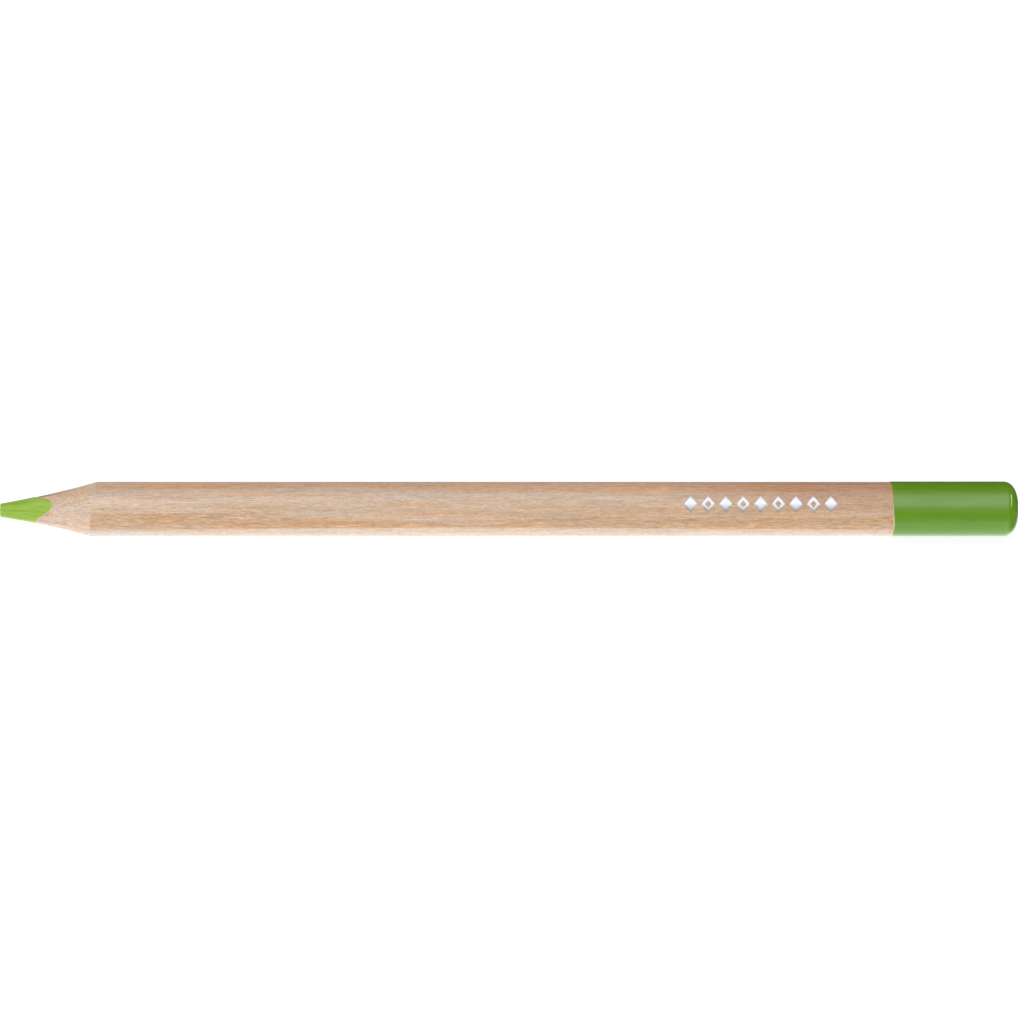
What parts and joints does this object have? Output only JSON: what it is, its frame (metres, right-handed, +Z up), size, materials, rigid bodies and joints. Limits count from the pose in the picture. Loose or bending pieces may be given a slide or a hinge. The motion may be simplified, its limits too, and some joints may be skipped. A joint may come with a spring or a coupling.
{
  "type": "jumbo coloured pencil",
  "caption": "Thick round colouring pencil: natural wooden barrel around a wide coloured core, ground to a blunt point, with a lacquer-dipped domed end.",
  "frame": {"origin": "under the middle of the pencil's length, on the surface that the pencil lies on", "axes": "+X along the pencil from the sharpened point to the dipped end, +Z up, -Y and +Z towards the stamped ornament"},
  "size_m": [0.175, 0.0094, 0.0094],
  "materials": {
    "pale_wood": "satin",
    "wax_core": "matte",
    "wood_glue": "matte",
    "clear_varnish": "satin",
    "pale_lacquer": "gloss",
    "green_lacquer": "gloss",
    "silver_foil": "polished"
  },
  "bodies": {
    "root": {"upper_slat": "pale_wood", "lower_slat": "pale_wood", "colour_core": "wax_core", "core_glue": "wood_glue", "front_seam_glue": "wood_glue", "rear_seam_glue": "wood_glue", "barrel_varnish": "clear_varnish", "dip_undercoat": "pale_lacquer", "dip_topcoat": "green_lacquer", "foil_lozenges": "silver_foil"}
  },
  "joints": []
}
